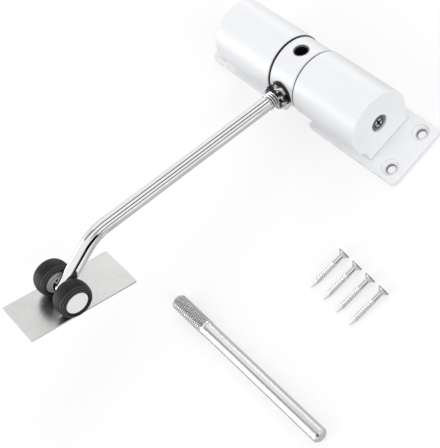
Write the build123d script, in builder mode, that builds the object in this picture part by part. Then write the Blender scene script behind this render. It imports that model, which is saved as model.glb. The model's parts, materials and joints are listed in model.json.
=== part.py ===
from build123d import *
import math
import os

# Spring door closer: a torsion spring barrel on a base plate, with a bent roller arm that
# presses a pair of rubber rollers on a strike plate.  Its kit lies beside it: the adjusting
# rod and four mounting screws.
# Millimetres.  X runs along the barrel towards its near end, +Z leaves the door frame, and
# the arm reaches to -Y.  The origin is the middle of the base plate's mounting face.

# Base plate
plate_length = 167.0
plate_width = 42.0
plate_thickness = 3.9
plate_corner_radius = 3.5
plate_edge_round = 0.6
notch_length = 22.4
notch_depth = 5.0
notch_corner_radius = 1.5
fixing_spacing_x = 148.8
fixing_spacing_y = 26.6
fixing_hole_diameter = 5.3
fixing_sink_diameter = 10.2
seat_height = 1.2
seat_rim = 0.4

# Barrel housings
barrel_radius = 20.5
barrel_sink = 1.7
housing_length = 51.1
housing_wall = 3.9
end_wall = 7.0
foot_width = 32.8
foot_blend_radius = 2.0
end_round = 0.9
mouth_chamfer = 0.5
keyway_width = 6.0
keyway_depth = 1.6
head_recess_diameter = 11.2
head_recess_depth = 2.6

# Screws that hold the housings down, from beneath the plate
housing_screw_diameter = 4.0
housing_screw_head = 7.6
housing_screw_length = 9.0
housing_screw_inset = 4.4

# Shaft, its end screws and the spring anchors
shaft_diameter = 10.0
shaft_seat_depth = 2.0
shaft_chamfer = 0.4
end_screw_diameter = 6.0
end_screw_length = 14.0
end_screw_head = 9.4
end_screw_head_height = 2.0
anchor_thickness = 5.0

# Torsion springs
spring_wire = 4.4
spring_mean_radius = 11.9
spring_coil_gap = 0.6
spring_tang_depth = 3.8

# Hub
hub_width = 20.5
hub_plate_gap = 0.3
hub_edge_chamfer = 0.4
seam_gap = 0.9
seam_washer_thickness = 0.6
seam_washer_seat_gap = 0.3
seam_washer_reveal = 0.5
seam_washer_width = 3.4
bush_diameter = 15.0
bush_length = 8.0
bush_flange_diameter = 17.2
bush_flange_thickness = 1.2
tapped_hole_count = 4
tapped_hole_depth = 11.0
tapped_mouth_chamfer = 0.35
spot_face_depth = 0.8
spot_face_diameter = 16.4

# Roller arm
arm_diameter = 9.0
arm_angle = 161.9
arm_bend_distance = 160.4
arm_bend_angle = 34.9
arm_bend_radius = 27.0
arm_tail_length = 36.4
arm_shoulder_distance = 31.0
arm_end_thickness = 8.0
arm_flat_length = 11.5
thread_diameter = 9.8
lock_nut_flats = 14.0
lock_nut_thickness = 5.6
lock_nut_chamfer = 0.9
arm_washer_diameter = 15.4
arm_washer_thickness = 1.8

# Rollers and their axle
roller_diameter = 22.2
roller_spread = 32.9
tyre_width = 12.0
tyre_crown = 2.7
wheel_hub_diameter = 14.4
wheel_rib_height = 1.5
wheel_rib_width = 4.0
wheel_inner_recess = 1.3
cap_diameter = 14.0
cap_recess = 0.9
cap_thickness = 1.0
cap_edge_round = 0.3
axle_diameter = 5.0
axle_head_diameter = 8.0
axle_head_thickness = 1.4
axle_pocket_diameter = 9.4
axle_pocket_depth = 2.2
spacer_diameter = 8.8

# Strike plate, stuck to the door leaf under the rollers
strike_length = 71.2
strike_width = 32.4
strike_thickness = 1.0
strike_corner_radius = 0.8
strike_tilt = 30.45
strike_shift_x = -2.9
strike_shift_y = 5.15
pad_thickness = 0.8
pad_margin = 1.0

# Adjusting rod, lying in front of the closer
rod_length = 127.0
rod_thread_length = 28.0
rod_end_chamfer = 1.1
rod_run_out = 1.2
rod_centre_x = 88.6
rod_centre_y = -151.9

# Mounting screws, lying in a row in front of the closer
screw_count = 4
screw_length = 27.5
screw_diameter = 3.5
screw_head_diameter = 7.2
screw_head_rim = 0.4
screw_point_length = 6.0
screw_point_radius = 0.25
screw_pitch = 11.3
screw_turn = 6.8
screw_row_turn = -4.1
screw_row_x = 103.9
screw_row_y = -82.8

# Cross recesses in the screw heads
cross_width = 1.1
cross_span_share = 0.56
cross_depth_share = 0.17

# Clearances
running_fit = 0.05
seat_fit = 0.1
roller_gap = 0.3
side_gap = 0.3
screw_clearance = 0.2
head_sink = 0.2
thread_end_gap = 0.5

# Places worked out from the sizes above
seat_top = plate_thickness + seat_height
axis_height = seat_top + barrel_radius - barrel_sink
axis_over_seat = barrel_radius - barrel_sink
bore_radius = barrel_radius - housing_wall
hub_radius = axis_over_seat + seat_height - hub_plate_gap
housing_start = hub_width / 2 + seam_gap
housing_end = housing_start + housing_length
end_web = end_wall - head_recess_depth - shaft_seat_depth
anchor_start = housing_end - end_wall - anchor_thickness
housing_middle = (housing_start + housing_end) / 2
housing_screw_y = foot_width / 2 - housing_screw_inset
shaft_radius = shaft_diameter / 2
tapped_radius = thread_diameter / 2 + running_fit
wheel_hub_radius = wheel_hub_diameter / 2
roller_face = roller_spread / 2
roller_inner_face = roller_face - tyre_width
wheel_hub_inner = roller_inner_face + wheel_inner_recess
wheel_hub_outer = roller_face - cap_recess - cap_thickness
axle_pocket_floor = wheel_hub_outer - axle_pocket_depth

arm_turn = math.radians(arm_angle)
tail_turn = math.radians(arm_angle + arm_bend_angle)
bend_y = arm_bend_distance * math.cos(arm_turn)
bend_z = axis_height + arm_bend_distance * math.sin(arm_turn)
wheel_y = bend_y + arm_tail_length * math.cos(tail_turn)
wheel_z = bend_z + arm_tail_length * math.sin(tail_turn)

strike_turn = math.radians(strike_tilt)
strike_normal = (0, math.sin(strike_turn), math.cos(strike_turn))
strike_drop = roller_diameter / 2 + roller_gap


def barrel_station(x):
    """Plane across the barrel at x, with its middle on the barrel's axis."""
    return Plane(origin=(x, 0, axis_height), x_dir=(0, 1, 0), z_dir=(1, 0, 0))


def radial_plane(turn, distance):
    """Plane square to a spoke of the hub, at a distance from the barrel's axis."""
    spoke = (0, math.cos(turn), math.sin(turn))
    origin = (0, distance * spoke[1], axis_height + distance * spoke[2])
    return Plane(origin=origin, x_dir=(1, 0, 0), z_dir=spoke)


def wheel_station(x):
    """Plane across the rollers at x, with its middle on their axle."""
    return Plane(origin=(x, wheel_y, wheel_z), x_dir=(0, 1, 0), z_dir=(1, 0, 0))


def cross_outline(plane, head_diameter):
    """Outline of the cross recess in a screw head, on the head's face."""
    span = head_diameter * cross_span_share
    with BuildSketch(plane) as cross:
        Rectangle(span, cross_width)
        Rectangle(cross_width, span)
    return cross.sketch


def save(part, name):
    part.label = name
    export_step(part, f"parts/{name}.step")


os.makedirs("parts", exist_ok=True)

# Base plate: notched beside the hub, countersunk at its corners, with a raised seat under
# each housing and countersunk holes in its underside for the housing screws.
with BuildPart() as base_plate:
    with BuildSketch():
        Rectangle(plate_length, plate_width)
        with GridLocations(0, plate_width, 1, 2):
            Rectangle(notch_length, 2 * notch_depth, mode=Mode.SUBTRACT)
    extrude(amount=plate_thickness)
    upright = base_plate.edges().filter_by(Axis.Z).group_by(Axis.X)
    outer_corners = upright[0] + upright[-1]
    notch_corners = upright[1] + upright[-2]
    fillet(outer_corners, plate_corner_radius)
    fillet(notch_corners, notch_corner_radius)
    fillet(base_plate.faces().sort_by(Axis.Z)[-1].edges(), plate_edge_round)
    with Locations(Plane.XY.offset(plate_thickness)):
        with GridLocations(fixing_spacing_x, fixing_spacing_y, 2, 2):
            CounterSinkHole(fixing_hole_diameter / 2, fixing_sink_diameter / 2)
    with BuildSketch(Plane.XY.offset(plate_thickness)):
        with GridLocations(2 * housing_middle, 0, 2, 1):
            Rectangle(housing_length + 2 * seat_rim, foot_width + 2 * seat_rim)
    extrude(amount=seat_height)
    with Locations(Plane(origin=(0, 0, 0), x_dir=(1, 0, 0), z_dir=(0, 0, -1))):
        with GridLocations(2 * housing_middle, 2 * housing_screw_y, 2, 2):
            CounterSinkHole(
                housing_screw_diameter / 2 + screw_clearance,
                housing_screw_head / 2 + screw_clearance + head_sink,
                depth=seat_top,
            )
save(base_plate.part, "base_plate")

# Housing screws: countersunk, up through the plate into each housing's foot.
with BuildPart() as housing_screw:
    sink_height = (housing_screw_head - housing_screw_diameter) / 2
    with BuildSketch(Plane.XZ):
        with BuildLine():
            Polyline(
                (0, head_sink),
                (housing_screw_head / 2, head_sink),
                (housing_screw_diameter / 2, head_sink + sink_height),
                (housing_screw_diameter / 2, head_sink + housing_screw_length),
                (0, head_sink + housing_screw_length),
                close=True,
            )
        make_face()
    revolve(axis=Axis.Z)
    head_face = Plane(origin=(0, 0, head_sink), x_dir=(1, 0, 0), z_dir=(0, 0, -1))
    cross = cross_outline(head_face, housing_screw_head)
    extrude(cross, amount=-housing_screw_head * cross_depth_share, mode=Mode.SUBTRACT)
with BuildPart() as housing_screws:
    with GridLocations(2 * housing_middle, 2 * housing_screw_y, 2, 2):
        add(housing_screw.part)
save(housing_screws.part, "housing_screws")

# Center shaft: plain, with a tapped hole in each end for the end screws.
shaft_end = housing_end - end_wall + shaft_seat_depth
with BuildPart() as center_shaft:
    with BuildSketch(barrel_station(-shaft_end)):
        Circle(shaft_radius)
    extrude(amount=2 * shaft_end)
    chamfer(center_shaft.edges().filter_by(GeomType.CIRCLE), shaft_chamfer)
    for x, lead in ((shaft_end, -1), (-shaft_end, 1)):
        with BuildSketch(barrel_station(x)):
            Circle(end_screw_diameter / 2 + running_fit)
        extrude(amount=lead * (end_screw_length - end_web + screw_clearance), mode=Mode.SUBTRACT)
save(center_shaft.part, "center_shaft")

# Housing: a cast cup with a flat foot, open towards the hub.  Two keyways run down its bore
# for the spring anchor, and its end wall takes the end screw and the end of the shaft.
with BuildPart() as near_housing:
    with BuildSketch(barrel_station(housing_start)) as housing_outline:
        Circle(barrel_radius)
        Rectangle(foot_width, axis_over_seat, align=(Align.CENTER, Align.MAX))
        with Locations((0, -axis_over_seat)):
            below_seat = (Align.CENTER, Align.MAX)
            Rectangle(plate_width, barrel_radius, align=below_seat, mode=Mode.SUBTRACT)
        blend_corners = housing_outline.vertices().group_by(Axis.Y)[1]
        fillet(blend_corners, foot_blend_radius)
    extrude(amount=housing_length)
    end_edges = near_housing.faces().sort_by(Axis.X)[-1].edges().sort_by(Axis.Z)[1:]
    fillet(end_edges, end_round)
    mouth_edges = near_housing.faces().sort_by(Axis.X)[0].edges().sort_by(Axis.Z)[1:]
    chamfer(mouth_edges, mouth_chamfer)
    with BuildSketch(barrel_station(housing_start)):
        Circle(bore_radius)
        Rectangle(2 * (bore_radius + keyway_depth), keyway_width)
    extrude(amount=housing_length - end_wall, mode=Mode.SUBTRACT)
    with BuildSketch(barrel_station(housing_end - end_wall)):
        Circle(shaft_radius + running_fit)
    extrude(amount=shaft_seat_depth, mode=Mode.SUBTRACT)
    with Locations(barrel_station(housing_end)):
        CounterBoreHole(
            end_screw_diameter / 2 + screw_clearance,
            head_recess_diameter / 2,
            head_recess_depth,
            depth=end_wall,
        )
    with Locations(Plane.XY.offset(seat_top).rotated((180, 0, 0))):
        with Locations((housing_middle, housing_screw_y), (housing_middle, -housing_screw_y)):
            Hole(
                housing_screw_diameter / 2 + running_fit,
                depth=housing_screw_length + head_sink + screw_clearance - seat_top,
            )
save(near_housing.part, "near_housing")

# End screw: its cheese head sits in the recess and pulls the housing onto the shaft's end.
recess_floor = housing_end - head_recess_depth
with BuildPart() as near_end_screw:
    with BuildSketch(barrel_station(recess_floor)):
        Circle(end_screw_head / 2)
    extrude(amount=end_screw_head_height)
    fillet(near_end_screw.faces().sort_by(Axis.X)[-1].edges(), end_screw_head_height / 4)
    with BuildSketch(barrel_station(recess_floor)):
        Circle(end_screw_diameter / 2)
    extrude(amount=-end_screw_length)
    cross = cross_outline(barrel_station(recess_floor + end_screw_head_height), end_screw_head)
    extrude(cross, amount=-end_screw_head * cross_depth_share, mode=Mode.SUBTRACT)
save(near_end_screw.part, "near_end_screw")

# Torsion spring: square wire, wound from the hub to the anchor, with a straight tang at each
# end that stands along the barrel.
coil_start = hub_width / 2 + spring_coil_gap + spring_wire / 2
coil_end = anchor_start - spring_coil_gap - spring_wire / 2
with BuildPart() as near_spring:
    with BuildLine() as coil:
        Helix(
            pitch=spring_wire + spring_coil_gap,
            height=coil_end - coil_start,
            radius=spring_mean_radius,
            center=(coil_start, 0, axis_height),
            direction=(1, 0, 0),
        )
    tang_places = (coil.line @ 0, coil.line @ 1)
    tang_spokes = [Vector(0, place.Y, place.Z - axis_height) for place in tang_places]
    with BuildSketch(Plane(origin=tang_places[0], x_dir=tang_spokes[0], z_dir=coil.line % 0)):
        Rectangle(spring_wire, spring_wire)
    sweep(is_frenet=True)
    tang_length = spring_wire / 2 + spring_coil_gap + spring_tang_depth
    for place, spoke, lead in zip(tang_places, tang_spokes, (-1, 1)):
        with BuildSketch(Plane(origin=place, x_dir=spoke, z_dir=(lead, 0, 0))):
            Rectangle(spring_wire, spring_wire)
        extrude(amount=tang_length)
save(near_spring.part, "near_spring")


def tang_outline(tang, x):
    """Square outline of the pocket for a spring tang, at x along the barrel."""
    place, spoke = tang_places[tang], tang_spokes[tang]
    across = spring_wire + 2 * seat_fit
    with BuildSketch(Plane(origin=(x, place.Y, place.Z), x_dir=spoke, z_dir=(1, 0, 0))) as pocket:
        Rectangle(across, across)
    return pocket.sketch


# Spring anchor: a keyed steel disc against the end wall that holds the spring's outer tang.
with BuildPart() as near_spring_anchor:
    with BuildSketch(barrel_station(anchor_start)):
        Circle(bore_radius - seat_fit)
        Rectangle(2 * (bore_radius + keyway_depth - seat_fit), keyway_width - 2 * seat_fit)
        Circle(shaft_radius + running_fit, mode=Mode.SUBTRACT)
    extrude(amount=anchor_thickness)
    extrude(tang_outline(1, anchor_start), amount=spring_tang_depth + seat_fit, mode=Mode.SUBTRACT)
save(near_spring_anchor.part, "near_spring_anchor")

# Seam washer: a dark ring in the gap between housing and hub, standing just proud of the
# hub, with a flat that clears the raised seats.
seam_washer_radius = hub_radius + seam_washer_reveal
seam_washer_flat = axis_over_seat - seam_washer_seat_gap
with BuildPart() as near_seam_washer:
    with BuildSketch(barrel_station(housing_start - seam_washer_thickness)):
        Circle(seam_washer_radius)
        Circle(seam_washer_radius - seam_washer_width, mode=Mode.SUBTRACT)
        with Locations((0, -seam_washer_flat)):
            below_flat = (Align.CENTER, Align.MAX)
            Rectangle(plate_width, barrel_radius, align=below_flat, mode=Mode.SUBTRACT)
    extrude(amount=seam_washer_thickness)
save(near_seam_washer.part, "near_seam_washer")

# Flanged bush: pressed into the hub, it runs on the shaft.
with BuildPart() as near_bush:
    with BuildSketch(barrel_station(hub_width / 2 - bush_length)):
        Circle(bush_diameter / 2)
    extrude(amount=bush_length)
    with BuildSketch(barrel_station(hub_width / 2 - bush_flange_thickness)):
        Circle(bush_flange_diameter / 2)
    extrude(amount=bush_flange_thickness)
    with BuildSketch(barrel_station(hub_width / 2)):
        Circle(shaft_radius + running_fit)
    extrude(amount=-bush_length, mode=Mode.SUBTRACT)
save(near_bush.part, "near_bush")

# Hub: the turning ring between the housings.  Its radial tapped holes take the arm and the
# adjusting rod, and both springs push on it through their tangs.
with BuildPart() as hub_ring:
    with BuildSketch(barrel_station(-hub_width / 2)):
        Circle(hub_radius)
    extrude(amount=hub_width)
    chamfer(hub_ring.edges().filter_by(GeomType.CIRCLE), hub_edge_chamfer)
    with BuildSketch(barrel_station(-hub_width / 2)):
        Circle(bush_diameter / 2 + running_fit)
    extrude(amount=hub_width, mode=Mode.SUBTRACT)
    for x, lead in ((hub_width / 2, -1), (-hub_width / 2, 1)):
        with BuildSketch(barrel_station(x)):
            Circle(bush_flange_diameter / 2 + running_fit)
        extrude(amount=lead * bush_flange_thickness, mode=Mode.SUBTRACT)
        pocket_depth = lead * (spring_tang_depth + seat_fit)
        extrude(tang_outline(0, x), amount=pocket_depth, mode=Mode.SUBTRACT)
    with BuildSketch(radial_plane(arm_turn, hub_radius - spot_face_depth)):
        Circle(spot_face_diameter / 2)
    extrude(amount=hub_radius, mode=Mode.SUBTRACT)
    for hole in range(tapped_hole_count):
        turn = arm_turn - math.radians(hole * 360 / tapped_hole_count)
        mouth_radius = tapped_radius + tapped_mouth_chamfer
        with Locations(radial_plane(turn, hub_radius)):
            CounterSinkHole(tapped_radius, mouth_radius, depth=tapped_hole_depth)
save(hub_ring.part, "hub_ring")

# Arm washer and lock nut, on the threaded end of the arm.
washer_start = hub_radius - spot_face_depth
nut_start = washer_start + arm_washer_thickness
with BuildPart() as arm_washer:
    with BuildSketch(radial_plane(arm_turn, washer_start)):
        Circle(arm_washer_diameter / 2)
        Circle(tapped_radius, mode=Mode.SUBTRACT)
    extrude(amount=arm_washer_thickness)
save(arm_washer.part, "arm_washer")

nut_corner = lock_nut_flats / math.sqrt(3)
nut_chamfer_height = lock_nut_chamfer * math.tan(math.radians(30))
with BuildPart() as arm_lock_nut:
    with BuildSketch(radial_plane(arm_turn, nut_start)):
        RegularPolygon(nut_corner, 6)
    extrude(amount=lock_nut_thickness)
    nut_middle = nut_start + lock_nut_thickness / 2
    spoke = radial_plane(arm_turn, nut_start)
    with BuildSketch(Plane(origin=spoke.origin, x_dir=(1, 0, 0), z_dir=-spoke.y_dir)):
        with BuildLine():
            Polyline(
                (0, 0),
                (nut_corner - lock_nut_chamfer, 0),
                (nut_corner, nut_chamfer_height),
                (nut_corner, lock_nut_thickness - nut_chamfer_height),
                (nut_corner - lock_nut_chamfer, lock_nut_thickness),
                (0, lock_nut_thickness),
                close=True,
            )
        make_face()
    revolve(axis=Axis(spoke.origin, spoke.z_dir), mode=Mode.INTERSECT)
    with Locations(spoke.offset(lock_nut_thickness)):
        CounterSinkHole(tapped_radius, tapped_radius + lock_nut_chamfer, depth=2 * lock_nut_thickness)
save(arm_lock_nut.part, "arm_lock_nut")

# Arm: a round bar, threaded into the hub, straight to its bend and flattened at the eye that
# the axle passes through.
arm_root = hub_radius - tapped_hole_depth + thread_end_gap
with BuildPart() as arm_rod:
    shoulder = radial_plane(arm_turn, arm_shoulder_distance)
    arm_corners = (shoulder.origin, (0, bend_y, bend_z), (0, wheel_y, wheel_z))
    with BuildLine() as arm_path:
        FilletPolyline(*arm_corners, radius=arm_bend_radius)
    with BuildSketch(shoulder):
        Circle(arm_diameter / 2)
    sweep()
    with BuildSketch(radial_plane(arm_turn, arm_root)):
        Circle(thread_diameter / 2)
    extrude(amount=arm_shoulder_distance - arm_root)
    with BuildSketch(wheel_station(-arm_end_thickness / 2)):
        Circle(arm_diameter / 2)
    extrude(amount=arm_end_thickness)
    tail_way = (0, math.cos(tail_turn), math.sin(tail_turn))
    tail = Plane(origin=(0, wheel_y, wheel_z), x_dir=(1, 0, 0), z_dir=tail_way)
    with BuildSketch(tail.offset(-arm_flat_length)):
        with GridLocations(arm_end_thickness + arm_diameter, 0, 2, 1):
            Rectangle(arm_diameter, 2 * arm_diameter)
    extrude(amount=arm_flat_length + arm_diameter, mode=Mode.SUBTRACT)
    with BuildSketch(wheel_station(-arm_diameter)):
        Circle(axle_diameter / 2 + running_fit)
    extrude(amount=2 * arm_diameter, mode=Mode.SUBTRACT)
save(arm_rod.part, "arm_rod")

# Axle: a plain pin with a riveted head at each end, inside the rollers' pockets.
head_start = axle_pocket_floor + side_gap
with BuildPart() as wheel_axle:
    with BuildSketch(wheel_station(-head_start)):
        Circle(axle_diameter / 2)
    extrude(amount=2 * head_start)
    for x, lead in ((head_start, 1), (-head_start, -1)):
        with BuildSketch(wheel_station(x)):
            Circle(axle_head_diameter / 2)
        extrude(amount=lead * axle_head_thickness)
save(wheel_axle.part, "wheel_axle")

# Spacer: keeps each roller clear of the arm.
with BuildPart() as near_spacer:
    with BuildSketch(wheel_station(arm_end_thickness / 2)):
        Circle(spacer_diameter / 2)
        Circle(axle_diameter / 2 + running_fit, mode=Mode.SUBTRACT)
    extrude(amount=wheel_hub_inner - side_gap - arm_end_thickness / 2)
save(near_spacer.part, "near_spacer")

# Roller: a rubber tyre moulded round a ribbed hub, with a bright cap over the axle's head.
rib_start = (wheel_hub_inner + wheel_hub_outer - wheel_rib_width) / 2
tyre_middle = roller_face - tyre_width / 2
tyre_side_radius = roller_diameter / 2 - tyre_crown
tyre_lip_round = tyre_side_radius - wheel_hub_radius
with BuildPart() as near_tyre:
    across_tyre = Plane(origin=(0, wheel_y, wheel_z), x_dir=(1, 0, 0), z_dir=(0, -1, 0))
    with BuildSketch(across_tyre):
        with BuildLine():
            inner_side = (roller_inner_face, tyre_side_radius)
            outer_side = (roller_face, tyre_side_radius)
            inner_lip = (roller_inner_face + tyre_lip_round, wheel_hub_radius)
            outer_lip = (roller_face - tyre_lip_round, wheel_hub_radius)
            crown_centre = (tyre_middle, tyre_side_radius)
            EllipticalCenterArc(crown_centre, tyre_width / 2, tyre_crown, arc_size=180)
            TangentArc(inner_side, inner_lip, tangent=(0, -1))
            Line(inner_lip, outer_lip)
            TangentArc(outer_side, outer_lip, tangent=(0, -1))
        make_face()
    revolve(axis=Axis(across_tyre.origin, (1, 0, 0)))
    with BuildSketch(wheel_station(rib_start)):
        Circle(wheel_hub_radius + wheel_rib_height)
    extrude(amount=wheel_rib_width, mode=Mode.SUBTRACT)
save(near_tyre.part, "near_tyre")

with BuildPart() as near_wheel_hub:
    with BuildSketch(wheel_station(wheel_hub_inner)):
        Circle(wheel_hub_radius)
    extrude(amount=wheel_hub_outer - wheel_hub_inner)
    with BuildSketch(wheel_station(rib_start)):
        Circle(wheel_hub_radius + wheel_rib_height)
    extrude(amount=wheel_rib_width)
    with Locations(wheel_station(wheel_hub_outer)):
        CounterBoreHole(
            axle_diameter / 2 + running_fit,
            axle_pocket_diameter / 2,
            axle_pocket_depth,
            depth=tyre_width,
        )
save(near_wheel_hub.part, "near_wheel_hub")

with BuildPart() as near_wheel_cap:
    with BuildSketch(wheel_station(wheel_hub_outer)):
        Circle(cap_diameter / 2)
    extrude(amount=cap_thickness)
    fillet(near_wheel_cap.faces().sort_by(Axis.X)[-1].edges(), cap_edge_round)
save(near_wheel_cap.part, "near_wheel_cap")

# The far half of the barrel and the far roller are mirror images of the near ones.
near_pieces = {
    "housing": near_housing,
    "end_screw": near_end_screw,
    "spring": near_spring,
    "spring_anchor": near_spring_anchor,
    "seam_washer": near_seam_washer,
    "bush": near_bush,
    "spacer": near_spacer,
    "tyre": near_tyre,
    "wheel_hub": near_wheel_hub,
    "wheel_cap": near_wheel_cap,
}
for name, near_piece in near_pieces.items():
    with BuildPart() as far_piece:
        mirror(near_piece.part, about=Plane.YZ)
    save(far_piece.part, f"far_{name}")

# Strike plate and its adhesive pad, tilted to the door leaf, under the rollers.
strike_foot = Vector(0, wheel_y, wheel_z) - Vector(strike_normal) * strike_drop
strike_top = Plane(origin=strike_foot, x_dir=(1, 0, 0), z_dir=strike_normal)
with BuildPart() as strike_plate:
    with BuildSketch(strike_top):
        with Locations((strike_shift_x, strike_shift_y)):
            RectangleRounded(strike_width, strike_length, strike_corner_radius)
    extrude(amount=-strike_thickness)
save(strike_plate.part, "strike_plate")

with BuildPart() as adhesive_pad:
    with BuildSketch(strike_top.offset(-strike_thickness)):
        with Locations((strike_shift_x, strike_shift_y)):
            Rectangle(strike_width - 2 * pad_margin, strike_length - 2 * pad_margin)
    extrude(amount=-pad_thickness)
save(adhesive_pad.part, "adhesive_pad")

# Adjusting rod: a loose bar with the same thread as the arm, for winding the hub.
thread_radius = thread_diameter / 2
shank_start = rod_thread_length + rod_run_out
with BuildPart() as adjusting_rod:
    rod_left = rod_centre_x - rod_length / 2
    rod_start = (rod_left, rod_centre_y, thread_radius)
    rod_plane = Plane(origin=rod_start, x_dir=(1, 0, 0), z_dir=(0, -1, 0))
    with BuildSketch(rod_plane):
        with BuildLine():
            Polyline(
                (0, 0),
                (0, thread_radius - rod_end_chamfer),
                (rod_end_chamfer, thread_radius),
                (rod_thread_length, thread_radius),
                (shank_start, arm_diameter / 2),
                (rod_length - rod_end_chamfer, arm_diameter / 2),
                (rod_length, arm_diameter / 2 - rod_end_chamfer),
                (rod_length, 0),
                close=True,
            )
        make_face()
    revolve(axis=Axis(rod_plane.origin, (1, 0, 0)))
save(adjusting_rod.part, "adjusting_rod")

# Mounting screws: countersunk wood screws that lie on their heads' rims, side by side.
screw_radius = screw_diameter / 2
head_radius = screw_head_diameter / 2
head_height = screw_head_rim + head_radius - screw_radius
taper_start = screw_length - screw_point_length
with BuildPart() as mounting_screw:
    with BuildSketch(Plane.XZ):
        with BuildLine():
            Polyline(
                (0, 0),
                (head_radius, 0),
                (head_radius, screw_head_rim),
                (screw_radius, head_height),
                (screw_radius, taper_start),
                (screw_point_radius, screw_length),
                (0, screw_length),
                close=True,
            )
        make_face()
    revolve(axis=Axis.Z)
    head_face = Plane(origin=(0, 0, 0), x_dir=(1, 0, 0), z_dir=(0, 0, -1))
    cross = cross_outline(head_face, screw_head_diameter)
    extrude(cross, amount=-screw_head_diameter * cross_depth_share, mode=Mode.SUBTRACT)

screw_lean = math.atan((head_radius - screw_radius) / taper_start)
screw_heading = math.radians(-90 - screw_turn)
row_heading = math.radians(screw_row_turn)
shaft_way = Vector(
    math.cos(screw_heading) * math.cos(screw_lean),
    math.sin(screw_heading) * math.cos(screw_lean),
    -math.sin(screw_lean),
)
with BuildPart() as mounting_screws:
    for number in range(screw_count):
        along_row = (number - (screw_count - 1) / 2) * screw_pitch
        head_place = Vector(
            screw_row_x + along_row * math.cos(row_heading) - shaft_way.X * screw_length / 2,
            screw_row_y + along_row * math.sin(row_heading) - shaft_way.Y * screw_length / 2,
            head_radius * math.cos(screw_lean),
        )
        with Locations(Plane(origin=head_place, z_dir=shaft_way)):
            add(mounting_screw.part)
save(mounting_screws.part, "mounting_screws")
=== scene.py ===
import bmesh
import bpy
import json
import math
from mathutils import Matrix, Vector


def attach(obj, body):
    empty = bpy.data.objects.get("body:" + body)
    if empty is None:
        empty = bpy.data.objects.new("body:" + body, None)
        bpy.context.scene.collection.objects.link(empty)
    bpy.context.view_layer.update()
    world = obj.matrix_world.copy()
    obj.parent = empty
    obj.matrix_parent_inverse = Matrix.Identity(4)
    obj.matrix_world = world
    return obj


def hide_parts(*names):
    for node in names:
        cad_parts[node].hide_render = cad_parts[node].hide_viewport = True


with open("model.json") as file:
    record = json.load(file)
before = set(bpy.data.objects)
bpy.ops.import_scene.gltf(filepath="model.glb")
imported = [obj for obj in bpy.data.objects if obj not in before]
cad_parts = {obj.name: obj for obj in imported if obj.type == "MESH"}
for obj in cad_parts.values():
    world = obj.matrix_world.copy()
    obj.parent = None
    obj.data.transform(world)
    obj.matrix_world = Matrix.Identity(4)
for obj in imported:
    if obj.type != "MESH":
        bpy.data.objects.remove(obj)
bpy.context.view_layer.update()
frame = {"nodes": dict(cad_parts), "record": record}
bodyOf = {}
for bodyName, nodeNames in frame["record"]["behaviour"]["bodies"].items():
    for nodeName in nodeNames:
        bodyOf[nodeName] = bodyName
slotOf = {part["node"]: part["material_slot"] for part in frame["record"]["subparts"]}
mm = 0.001
weldGap = 2e-6  # points of a mesh that lie closer are one, m

# Axes along x, as y and z in mm, and the fixing holes, set at plus and minus x and y
axisHeight = 23.9
barrelAxis = (0.0, axisHeight)
wheelAxis = (-187.309, 63.212)
fixing = {"x": 74.4, "y": 13.3, "sink": 5.1}


# One socket of a node tree, or a sum worked out from it
class Wire:
    def __init__(self, tree, socket):
        self.tree, self.socket = tree, socket

    def __add__(self, other):
        return self.tree.maths("ADD", self, other)

    def __radd__(self, other):
        return self.tree.maths("ADD", other, self)

    def __sub__(self, other):
        return self.tree.maths("SUBTRACT", self, other)

    def __rsub__(self, other):
        return self.tree.maths("SUBTRACT", other, self)

    def __mul__(self, other):
        return self.tree.maths("MULTIPLY", self, other)

    def __rmul__(self, other):
        return self.tree.maths("MULTIPLY", other, self)

    def __truediv__(self, other):
        return self.tree.maths("DIVIDE", self, other)

    def __gt__(self, other):
        return self.tree.maths("GREATER_THAN", self, other)

    def __lt__(self, other):
        return self.tree.maths("LESS_THAN", self, other)


# A node tree that is filled by one method, for finishes and for Geometry Nodes alike
class Tree:
    def __init__(self, nodeTree):
        self.nodes, self.links = nodeTree.nodes, nodeTree.links
        self.nodes.clear()

    # Adds a node with its settings and sockets, and gives one of its outputs
    def add(self, kind, sockets=None, output=0, **settings):
        node = self.nodes.new(kind)
        for key, value in settings.items():
            setattr(node, key, value)
        for key, value in (sockets or {}).items():
            if isinstance(value, Wire):
                self.links.new(value.socket, node.inputs[key])
            else:
                node.inputs[key].default_value = value
        return Wire(self, node.outputs[output]) if node.outputs else None

    def other(self, wire, output):
        return Wire(self, wire.socket.node.outputs[output])

    # The x, y and z of a vector
    def split(self, vector):
        x = self.add("ShaderNodeSeparateXYZ", {0: vector})
        return x, self.other(x, 1), self.other(x, 2)

    def maths(self, operation, *values):
        return self.add("ShaderNodeMath", dict(enumerate(values)), operation=operation)

    def absolute(self, value):
        return self.maths("ABSOLUTE", value)

    # Keeps a value between 0 and 1
    def clamped(self, value):
        return self.add("ShaderNodeClamp", {0: value})

    def dot(self, first, second):
        sockets = {0: first, 1: second}
        return self.add("ShaderNodeVectorMath", sockets, 1, operation="DOT_PRODUCT")


def shade(tone):
    if isinstance(tone, (int, float)):
        return (tone, tone, tone, 1.0)
    return (*tone, 1.0)


# A ground value plus each layer's share of it
def layered(amounts, *layers):
    ground, *shares = amounts
    return sum((share * layer for share, layer in zip(shares, layers)), ground)


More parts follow.
